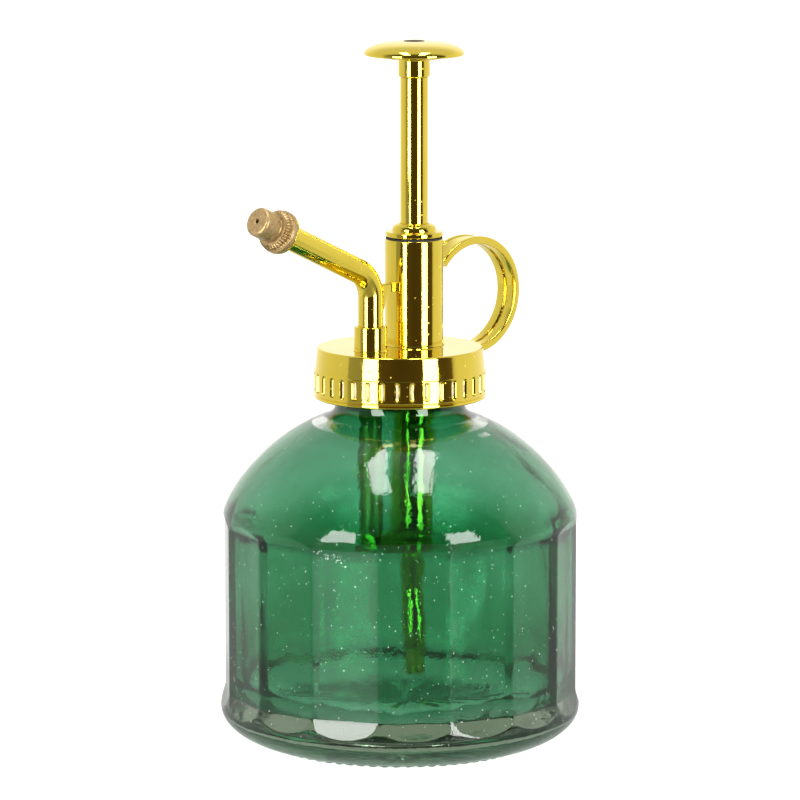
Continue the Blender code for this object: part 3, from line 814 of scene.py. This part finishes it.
def slot_depth(angle, height):
    """Depth of the grip slots in the skirt: upright bars with round ends."""
    pitch = 360 / SLOTS
    off = (angle - SLOT_TURN + pitch / 2) % pitch - pitch / 2
    across = math.radians(off) * SKIRT_R
    lowest = SLOT_LOW + SLOT_HALF
    highest = SLOT_HIGH - SLOT_HALF
    past = max(0.0, lowest - height, height - highest)
    edge = math.hypot(across, past)
    return SLOT_DEPTH * (1 - step_between(SLOT_HALF - 0.16, SLOT_HALF + 0.06, edge))


def cap_shell():
    columns = SLOTS * 16
    angles = [SLOT_TURN + 360 / columns * i for i in range(columns)]
    inside = CAP_TOP - CAP_TOP_WALL
    top = [(17.5, CAP_TOP), (CAP_R - 0.45, CAP_TOP)]
    top += arc((CAP_R - 0.45, CAP_TOP - 0.45), (0.45, 0.45), 80, 0, 7)
    flare = SKIRT_R - CAP_R - 0.18
    for i in range(9):
        height = CAP_TOP - 0.8 + (CAP_STEP_Z + 0.3 - CAP_TOP + 0.8) * i / 8
        top.append((CAP_R + flare * i / 8, height))
    top += [(SKIRT_R - 0.16, CAP_STEP_Z + 0.15), (SKIRT_R - 0.06, CAP_STEP_Z + 0.04)]
    skirt = [(SKIRT_R, CAP_STEP_Z - 0.12 - 0.2 * i) for i in range(25)]
    bead = [(SKIRT_R - 0.02, 79.1), (SKIRT_R - 0.2, 78.98), (SKIRT_R - 0.2, 78.86)]
    bead += [(SKIRT_R - 0.04, 78.74), (SKIRT_R, 78.55)]
    bead += arc((SKIRT_R - 0.35, CAP_BOTTOM + 0.35), (0.35, 0.35), 0, -90, 6)
    bead += [(CAP_BORE_R + 0.4, CAP_BOTTOM), (CAP_BORE_R, CAP_BOTTOM + 0.4)]
    bore = [(CAP_BORE_R, 78.8 + 0.2 * i) for i in range(38)]
    bore += [(CAP_BORE_R, 87.0), (CAP_BORE_R - 0.5, inside), (10.0, inside)]
    rings = []
    for radius, height in top + skirt + bead:
        if SLOT_LOW - 1 < height < SLOT_HIGH + 0.2:
            rings.append([polar(radius - slot_depth(a, height), a, height) for a in angles])
        else:
            rings.append([polar(radius, a, height) for a in angles])
    for radius, height in bore:
        rise = 0.0
        ring = []
        for a in angles:
            if 78.9 < height < 86.3:
                turns = (height - 79.6) / THREAD_PITCH - (a % 360) / 360
                off = abs(turns - round(turns)) * THREAD_PITCH
                rise = 0.45 * (1 - step_between(0.15, 0.8, off))
            ring.append(polar(radius - rise, a, height))
        rings.append(ring)
    bm = lofted(rings, False, (0, 0, CAP_TOP), (0, 0, inside))
    cap = piece("cap_shell", bm, GOLD, "head", "gold_plate", "screw_cap", sharp=35)
    drill(cap, [(PUMP_X, PUMP_HOLE_R), (SPOUT_X, RISER_HOLE_R)], inside - 1, CAP_TOP + 1)


def slot_floors():
    """The unpolished bed of each slot, a little proud of its floor."""
    bm = bmesh.new()
    for i in range(SLOTS):
        angle = SLOT_TURN + 360 * i / SLOTS
        middle = (SLOT_LOW + SLOT_HIGH) / 2
        place = Matrix.Translation(polar(SKIRT_R - SLOT_DEPTH + 0.02, angle, middle))
        shape = Matrix.Diagonal((0.12, SLOT_HALF - 0.12, (SLOT_HIGH - SLOT_LOW) / 2 - 0.2, 1))
        turn = Matrix.Rotation(math.radians(angle), 4, "Z")
        bmesh.ops.create_icosphere(bm, subdivisions=2, radius=1.0, matrix=place @ turn @ shape)
    piece("slot_floors", bm, DULL, "head", "gold_plate", sharp=180)


def drill(target, holes, lowest, highest):
    """Cuts upright round holes of (x, radius) through a piece and keeps its shading crisp."""
    bm = bmesh.new()
    for x, radius in holes:
        rings = [ring_of(bm, circle(radius, z, 64, x)) for z in (lowest, highest)]
        bridge(bm, *rings)
        bm.faces.new(rings[0])
        bm.faces.new(rings[1])
    bmesh.ops.recalc_face_normals(bm, faces=bm.faces)
    bm.transform(Matrix.Scale(MM, 4))
    mesh = bpy.data.meshes.new("drill")
    bm.to_mesh(mesh)
    bm.free()
    tool = bpy.data.objects.new("drill", mesh)
    bpy.context.scene.collection.objects.link(tool)
    cut = target.modifiers.new("holes", "BOOLEAN")
    cut.object = tool
    cut.operation = "DIFFERENCE"
    cut.solver = "EXACT"
    graph = bpy.context.evaluated_depsgraph_get()
    result = bpy.data.meshes.new_from_object(target.evaluated_get(graph))
    target.modifiers.remove(cut)
    target.data = result
    smooth(result, 35)
    bpy.data.objects.remove(tool)


# Pump head


def pump_tube(name, node, bore):
    """A plated tube on the pump's axis, with softened rims."""
    outer, bottom, top = half_width(node), low(node).z, high(node).z
    corners = [(outer, top, 0.15), (outer, bottom, 0.15), (bore, bottom, 0.075), (bore, top, 0.075)]
    bm = turned(rounded(corners, True), PUMP_X)
    piece(name, bm, GOLD, "head", "gold_plate", node)


def barrel():
    top = high("pump_barrel").z + 0.28
    outer = half_width("pump_barrel")
    corners = [(5.5, top, 0.1), (outer, top, 0.25), (outer, HEAD_BASE + 0.45, 0.3)]
    corners += [(outer + 0.22, HEAD_BASE + 0.12, 0.1), (outer + 0.22, HEAD_BASE, 0.0)]
    corners += [(5.5, HEAD_BASE, 0.1)]
    bm = turned(rounded(corners, True), PUMP_X)
    piece("barrel_sleeve", bm, GOLD, "head", "gold_plate", "pump_barrel")


def gland():
    bottom = low("barrel_gland").z
    top = high("barrel_gland").z
    outer = half_width("barrel_gland")
    flange = top - 2.9
    corners = [(GLAND_BORE_R, top - 0.2, 0.1), (3.5, top, 0.1), (3.75, top, 0.2)]
    outline = rounded(corners + [(4.0, top - 0.3, 0.0)], False)[:-1]
    outline += arc((3.75, flange + 1.25), (1.2, top - flange - 1.4), 78, 0, 10)
    outline += rounded(
        [(4.95, flange + 1.3, 0), (5.15, flange + 1.15, 0.15), (outer, flange + 1.15, 0.3)]
        + [(outer, flange, 0.3), (5.2, flange, 0.1), (5.2, bottom, 0.2)]
        + [(GLAND_BORE_R, bottom, 0.1), (GLAND_BORE_R, bottom + 1, 0)],
        False,
    )
    piece("gland", turned(outline, PUMP_X), GOLD, "head", "gold_plate", "barrel_gland")


def plunger():
    top = high("plunger_knob").z
    bottom = low("plunger_knob").z
    outer = half_width("plunger_knob")
    under = top - 3.95
    outline = [(1.3, top - 1.9), (2.05, top - 1.9), (2.1, top - 0.5), (2.2, top - 0.2)]
    outline += [(2.4, top - 0.06)]
    crown = 2.65
    for i in range(1, 25):
        share = math.sin(math.radians(12 + 78 * i / 24))
        drop = crown * (1 - max(0.0, 1 - share**3) ** 0.62)
        outline.append((outer * share, top - 0.02 - drop))
    edge = top - 0.02 - crown
    outline += [(outer - 0.02, edge - 0.2), (outer - 0.12, edge - 0.42), (outer - 0.4, edge - 0.55)]
    outline += [(outer - 0.7, edge - 0.5), (outer - 2.4, edge - 0.3)]
    outline += rounded(
        [(outer - 3.2, edge - 0.3, 0), (6.0, under, 0.6), (3.5, under - 0.05, 0.35)]
        + [(3.5, bottom + 0.15, 0.15), (3.35, bottom, 0.1), (2.15, bottom, 0), (2.15, top - 2.4, 0)]
        + [(1.3, top - 2.4, 0)],
        False,
    )
    bm = turned(outline, PUMP_X)
    piece("thumb_button", bm, GOLD, "plunger", "gold_plate", "plunger_knob")
    rod_top = bottom + 5.8
    rod_low = low("piston_rod").z
    corners = [(0, rod_top, 0), (1.9, rod_top, 0.2), (1.9, bottom - 0.1, 0.1)]
    corners += [(ROD_R, bottom - 0.1, 0.2), (ROD_R, ROD_STEP_Z, 0.1)]
    corners += [(PISTON_ROD_R, ROD_STEP_Z, 0.1), (PISTON_ROD_R, rod_low, 0.3), (0, rod_low, 0)]
    bm = turned(rounded(corners, False), PUMP_X)
    piece("plunger_rod", bm, GOLD, "plunger", "gold_plate", "piston_rod")


def strip_section():
    """Half-round edges, a shallow channel on the outer face and a groove along the inner one."""
    half = STRIP_WIDTH / 2
    thick = STRIP_THICKNESS
    corners = [(-half, 0, 0.3), (-1.75, 0, 0.15), (-1.55, -0.28, 0.15), (1.55, -0.28, 0.15)]
    corners += [(1.75, 0, 0.15), (half, 0, 0.3), (half, -thick, 0.35), (0.5, -thick, 0.15)]
    corners += [(0, -thick + 0.3, 0.15), (-0.5, -thick, 0.15), (-half, -thick, 0.35)]
    return rounded(corners, True, 3)


def finger_loop():
    start_x = PUMP_X + half_width("pump_barrel") - 0.1
    end_x = CAP_R - 0.1
    start = math.degrees(math.acos((start_x - RING_X) / RING_HALF_LENGTH))
    end = -math.degrees(math.acos((end_x - RING_X) / RING_HALF_LENGTH))
    steps = 150
    rings = []
    for i in range(steps + 1):
        turn = math.radians(start + (end - start) * i / steps)
        ring = []
        for across, depth in strip_section():
            x = RING_X + (RING_HALF_LENGTH + depth) * math.cos(turn)
            ring.append((x, across, RING_Z + (RING_HALF_HEIGHT + depth) * math.sin(turn)))
        rings.append(ring)
    piece("finger_loop", lofted(rings), GOLD, "head", "gold_plate", "finger_ring", sharp=50)


# Spout


def spout_direction():
    """The way the spout points."""
    rise = math.radians(SPOUT_RISE)
    return Vector((-math.cos(rise), 0, math.sin(rise)))


def spout_stations(lowest, reach):
    """(point, outward direction in the bend's plane) up, round the bend and out."""
    ahead = spout_direction()
    turn = math.radians(90 - SPOUT_RISE)
    tangent = SPOUT_BEND_R * math.tan(turn / 2)
    middle = Vector((SPOUT_X - SPOUT_BEND_R, 0, SPOUT_CORNER_Z - tangent))
    out = Vector((1, 0, 0))
    path = [(Vector((SPOUT_X, 0, lowest)), out), (Vector((SPOUT_X, 0, lowest + 0.2)), out)]
    steps = 36
    for i in range(steps + 1):
        angle = turn * i / steps
        outward = Vector((math.cos(angle), 0, math.sin(angle)))
        path.append((middle + SPOUT_BEND_R * outward, outward))
    outward = Vector((ahead.z, 0, -ahead.x))
    corner = Vector((SPOUT_X, 0, SPOUT_CORNER_Z))
    path += [(corner + d * ahead, outward) for d in (reach - 8, reach - 0.2, reach)]
    return path


def spout():
    reach = NOZZLE_REACH - NOZZLE_LENGTH - 0.35
    stations = spout_stations(SPOUT_LOW, reach)
    rings = []
    both_ways = [(s, SPOUT_R) for s in stations] + [(s, SPOUT_BORE_R) for s in reversed(stations)]
    for (point, out), radius in both_ways:
        ring = []
        for i in range(96):
            turn = math.tau * i / 96
            ring.append(point + radius * (math.cos(turn) * out + math.sin(turn) * Vector((0, 1, 0))))
        rings.append(ring)
    bm = lofted(rings, True)
    piece("spout_pipe", bm, GOLD, "head", "gold_plate", "spout_tube")

    top = high("spout_socket").z
    outer = half_width("spout_socket")
    corners = [(SPOUT_R + 0.05, top - 0.1, 0.05), (SPOUT_R + 0.3, top, 0.1), (outer, top, 0.25)]
    corners += [(outer, HEAD_BASE + 0.35, 0.25), (outer + 0.16, HEAD_BASE + 0.08, 0.05)]
    corners += [(outer + 0.16, HEAD_BASE, 0), (RISER_HOLE_R, HEAD_BASE, 0.05)]
    corners += [(RISER_HOLE_R, SPOUT_SEAT_Z, 0.05), (SPOUT_R + 0.05, SPOUT_SEAT_Z, 0.05)]
    bm = turned(rounded(corners, True), SPOUT_X)
    piece("spout_collar", bm, GOLD, "head", "gold_plate", "spout_socket")

    back = NOZZLE_LENGTH + 0.12
    corners = [(4.62, back, 0.1), (4.62, back + 0.45, 0.2), (3.0, back + 0.75, 0.4)]
    corners += [(SPOUT_R + 0.02, back + 1.3, 0.05), (SPOUT_R + 0.02, back, 0.05)]
    bm = turned(rounded(corners, True), 0.0, FINE, nozzle_frame())
    piece("spout_rim", bm, GOLD, "head", "gold_plate", "spout_flange")


def brace():
    lowest, highest = low("spout_brace"), high("spout_brace")
    left = SPOUT_X + SPOUT_R - 0.1
    right = PUMP_X - half_width("pump_barrel") + 0.15
    bar_low = highest.z - 1.9
    side = [(left, highest.z), (right, highest.z), (right, bar_low), (left + 1.7, bar_low)]
    side += [(left + 1.15, bar_low - 0.35), (left + 0.75, lowest.z + 0.1), (left, lowest.z)]
    rings = [[(x, y, z) for x, z in side] for y in (lowest.y, highest.y)]
    bm = lofted(rings)
    bmesh.ops.bevel(
        bm, geom=bm.edges[:], offset=0.18, segments=3, affect="EDGES", clamp_overlap=True
    )
    piece("brace_bar", bm, GOLD, "head", "gold_plate", "spout_brace")


def nozzle_frame():
    """Places a turned piece with its height measured back from the nozzle's tip."""
    back = -spout_direction()
    tip = Vector((SPOUT_X, 0, SPOUT_CORNER_Z)) - NOZZLE_REACH * back
    across = Vector((0, 1, 0))
    frame_of = Matrix((across.cross(back), across, back)).transposed().to_4x4()
    return Matrix.Translation(tip) @ frame_of


def nozzle():
    length = NOZZLE_LENGTH
    outline = [(0.5, 1.4), (0.5, 0.2), (0.54, 0.08), (0.62, 0.0), (1.6, 0.0)]
    outline += arc((TIP_R - 0.75, 0.75), (0.75, 0.75), -90, 0, 10)
    outline += [(TIP_R, 2.2), (TIP_R, 4.05), (TIP_R - 0.1, 4.25), (2.85, 4.45), (2.72, 4.6)]
    outline += [(2.72, 4.85), (2.85, 5.0), (3.5, 5.05), (3.8, 5.12)]
    knurl = [(3.95, 5.2), (4.3, 5.5), (4.48, 5.8), (4.55, 6.1), (4.58, 6.4), (4.6, 6.65)]
    outline += knurl
    outline += [(4.5, 6.8), (4.55, 6.9), (NOZZLE_R - 0.05, 6.95), (NOZZLE_R, 7.1)]
    outline += [(NOZZLE_R, 7.6), (NOZZLE_R, 8.0), (NOZZLE_R - 0.15, length), (2.3, length)]
    outline += [(2.3, 3.2), (1.9, 3.2), (1.9, 1.4)]
    sides = TEETH * 8
    rings = []
    for radius, height in outline:
        ring = []
        for i in range(sides):
            turn = math.tau * i / sides
            cut = 0.0
            if (radius, height) in knurl:
                cut = 0.42 * abs(math.sin(turn * TEETH / 2)) ** 0.8
            r = radius - cut
            ring.append((r * math.cos(turn), r * math.sin(turn), height))
        rings.append(ring)
    bm = lofted(rings, True)
    bm.transform(nozzle_frame())
    piece("knurled_nozzle", bm, BRASS, "nozzle", "brass", "nozzle_cap", sharp=42)


# Pump inside the bottle


def inner_pump():
    pump_tube("pump_tube", "pump_cylinder", CYLINDER_BORE_R)
    top, bottom, outer = high("riser_tube").z, low("riser_tube").z, half_width("riser_tube")
    corners = [(RISER_NECK_R, top, 0.1), (RISER_NECK_R, RISER_TAPER_Z + 2, 1.0)]
    corners += [(outer, RISER_TAPER_Z, 1.0), (outer, bottom, 0.1)]
    corners += [(RISER_BORE_R, bottom, 0), (RISER_BORE_R, top, 0)]
    bm = turned(rounded(corners, True), SPOUT_X)
    piece("riser_pipe", bm, BRASS, "head", "gold_plate", "riser_tube")
    pump_tube("dip_pipe", "dip_tube", DIP_BORE_R)


def return_coil():
    """The return spring, coiled up from its seat, with a mesh of its own."""
    foot, top = low("return_spring").z, high("return_spring").z
    steps = round(SPRING_TURNS * 24)
    rise = (top - foot - 2 * SPRING_WIRE_R) / steps
    rings = []
    for i in range(steps + 1):
        turn = math.tau * i / 24
        outward = Vector((math.cos(turn), math.sin(turn), 0))
        middle = Vector((PUMP_X, 0, foot + SPRING_WIRE_R + rise * i)) + SPRING_COIL_R * outward
        section = []
        for k in range(10):
            side = math.tau * k / 10
            offset = math.cos(side) * outward + math.sin(side) * Vector((0, 0, 1))
            section.append(middle + SPRING_WIRE_R * offset)
        rings.append(section)
    coil = piece("return_coil", lofted(rings), STEEL, "head", "steel", "return_spring")
    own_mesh(coil)


# Carried-over nodes


def finish_nodes():
    """Gives every carried-over node the material of its slot."""
    finishes = {"gold_plate": GOLD, "brass": BRASS, "steel": STEEL, "rubber": RUBBER, "glass": GLASS}
    for part in frame["record"]["subparts"]:
        node = frame["nodes"][part["node"]]
        node.data.materials.clear()
        # The knob's screw and the nozzle's swirl core get brass painted dark for the shade in their
        # hollows.
        finish = {"cylinder_foot": GOLD, "knob_screw": DARK, "swirl_core": DARK}.get(part["node"])
        node.data.materials.append(finish or finishes[part["material_slot"]])


# Studio


def camera():
    pitch = math.radians(CAMERA_PITCH)
    away, right = facing()
    ahead = away * math.cos(pitch) - Vector((0, 0, 1)) * math.sin(pitch)
    data = bpy.data.cameras.new("camera")
    data.sensor_width = 36.0
    data.lens = CAMERA_LENS
    data.clip_end = 50.0
    made = bpy.data.objects.new("camera", data)
    bpy.context.scene.collection.objects.link(made)
    place = Matrix((right, right.cross(ahead), -ahead)).transposed().to_4x4()
    place.translation = -away * CAMERA_DISTANCE + Vector((0, 0, CAMERA_HEIGHT))
    made.matrix_world = place
    bpy.context.scene.camera = made


def softbox(name, place, size):
    """A rectangular light that faces the object and isn't seen directly."""
    data = bpy.data.lights.new(name, "AREA")
    data.shape = "RECTANGLE"
    data.size, data.size_y = size
    data.energy = RADIANCE * math.pi * size[0] * size[1]
    made = bpy.data.objects.new(name, data)
    bpy.context.scene.collection.objects.link(made)
    aim = Vector((0, 0, 0.08)) - place
    made.location = place
    made.rotation_mode = "QUATERNION"
    made.rotation_quaternion = aim.to_track_quat("-Z", "Y")
    made.visible_camera = False
    return made


def lights():
    """Two tall softboxes beside the camera and two long ones overhead."""
    away, right = facing()
    width = 2 * LIGHT_REACH * math.tan(math.radians(21.0 / 2))
    for name, turn in (("left", -40.5), ("right", 42.0)):
        angle = math.radians(turn)
        place = (right * math.sin(angle) - away * math.cos(angle)) * LIGHT_REACH
        softbox("softbox_" + name, place + Vector((0, 0, 0.1)), (width, 2.0))
    for name, across in (("top_left", -0.235), ("top_right", 0.26)):
        made = softbox(name, right * across - away * 0.05 + Vector((0, 0, 1.4)), (0.2, 0.78))
        made.rotation_quaternion = (
            Matrix((right, away, Vector((0, 0, 1)))).transposed().to_quaternion()
        )


def world():
    """A white room with a dark side behind the camera, which only gloss and glass see."""
    made = bpy.data.worlds.new("studio")
    bpy.context.scene.world = made
    made.use_nodes = True
    tree = made.node_tree
    direction = add(tree, "ShaderNodeTexCoord").outputs["Generated"]
    front = toward_front(tree, direction)
    turn = calculate(tree, "ARCTAN2", along(tree, direction, facing()[1]), front)
    round_it = spread(tree, turn, 0.0, 1.0, -math.pi, math.pi)
    levels = [(-180, 1.0), (-130, 0.75), (-100, 0.66), (-76, 0.60), (-73, 0.30), (-53, 0.26)]
    levels += [(-49, 0.07), (0, 0.042), (66, 0.06), (75, 0.09), (78, 0.55), (84, 0.70)]
    levels += [(130, 0.8), (180, 1.0)]
    stops = []
    for a, v in levels:
        tint = (1.0, 0.98, 0.95) if v > DARK_LEVEL else (1.25, 0.88, 0.5)
        stops.append(((a + 180) / 360, [v * part for part in tint]))
    behind = [(-180, 1.0), (-138, 1.0), (-118, 0.25), (-90, 0.10), (0, 0.08), (90, 0.10)]
    behind += [(118, 0.25), (138, 1.0), (180, 1.0)]
    backdrop = ramp(tree, round_it, [((a + 180) / 360, shade(v * 0.8)) for a, v in behind])
    up = tree.nodes.new("ShaderNodeSeparateXYZ")
    tree.links.new(direction, up.inputs["Vector"])
    overhead = spread(tree, front, 0.0, 1.0, -0.15, 0.25)
    ceiling = ramp(tree, overhead, [(0.0, shade(0.62)), (1.0, shade(0.08))])
    height = spread(tree, up.outputs["Z"], 0.0, 1.0, 0.42, 0.70)
    sides = blended(tree, height, ramp(tree, round_it, stops), ceiling)
    path = add(tree, "ShaderNodeLightPath")
    share = spread(tree, path.outputs["Glossy Depth"], 0.35, 0.0, 0.0, 1.0)
    plain = add(tree, "ShaderNodeRGB").outputs[0]
    plain.default_value = (*shade(PLAIN_LEVEL), 1.0)
    room = blended(tree, path.outputs["Is Camera Ray"], blended(tree, share, sides, backdrop), plain)
    tree.links.new(room, tree.nodes["Background"].inputs["Color"])
    tree.nodes["Background"].inputs["Strength"].default_value = WORLD_STRENGTH


def floor():
    """A semi-gloss table. Only the part by the bottle is near enough to show in the gloss."""
    made, tree, shader = new_material("pale_floor")
    tone = noise_of(tree, 3.0, 2.0)
    two_tone(tree, shader, tone, (0.22, 0.22, 0.21), (0.25, 0.25, 0.24))
    shader.inputs["Roughness"].default_value = 0.4
    shader.inputs["Specular IOR Level"].default_value = 0.09
    shader.inputs["Emission Color"].default_value = (1.0, 1.0, 1.0, 1.0)
    path = add(tree, "ShaderNodeLightPath")
    reach = add(tree, "ShaderNodeVectorMath")
    reach.operation = "LENGTH"
    tree.links.new(position(tree), reach.inputs[0])
    level = spread(tree, reach.outputs["Value"], 0.0, 1.0, 0.0, SPOT_R)
    # Painted light: the camera sees the table glow evenly white; through the glass its glow holds a
    # painted shadow round the bottle, and in reflections it glows only away from the camera.
    near = ramp(tree, level, [(r / SPOT_R, shade(v)) for r, v in SHADOW])
    straight = spread(tree, path.outputs["Glossy Depth"], 1.0, 0.0, 0.0, 1.0)
    far_side = spread(tree, toward_front(tree, position(tree)), 0.6, 0.0, 0.02, 0.09)
    glow = product(tree, near, calculate(tree, "MAXIMUM", straight, far_side))
    glow = calculate(tree, "MAXIMUM", glow, path.outputs["Is Camera Ray"])
    tree.links.new(glow, shader.inputs["Emission Strength"])
    rims = (0.0, SPOT_R, TABLE_R, FLOOR_R)
    for name, inner, outer in zip(("table_spot", "table_middle", "table_rest"), rims, rims[1:]):
        bm = bmesh.new()
        rings = [ring_of(bm, circle(radius, 0, 96)) for radius in (outer, inner) if radius]
        if len(rings) == 1:
            bm.faces.new(rings[0])
        else:
            bridge(bm, *rings)
        mesh = bpy.data.meshes.new(name)
        bm.to_mesh(mesh)
        bm.free()
        mesh.materials.append(made)
        stage = bpy.data.objects.new(name, mesh)
        stage.location.z = -0.0002
        stage.visible_glossy = outer <= TABLE_R
        stage.visible_transmission = outer <= SPOT_R
        bpy.context.scene.collection.objects.link(stage)


def look():
    """Colours as they are, and enough bounces for light to pass the bottle's walls."""
    scene = bpy.context.scene
    scene.view_settings.view_transform = "Standard"
    scene.cycles.max_bounces = 24
    scene.cycles.transmission_bounces = 24
    scene.cycles.glossy_bounces = 10
    scene.cycles.transparent_max_bounces = 24


camera()
bottle_glass()
bottle_lining()
seed_bubbles()
cap_shell()
slot_floors()
barrel()
gland()
plunger()
finger_loop()
spout()
brace()
nozzle()
inner_pump()
return_coil()
finish_nodes()
floor()
lights()
world()
look()
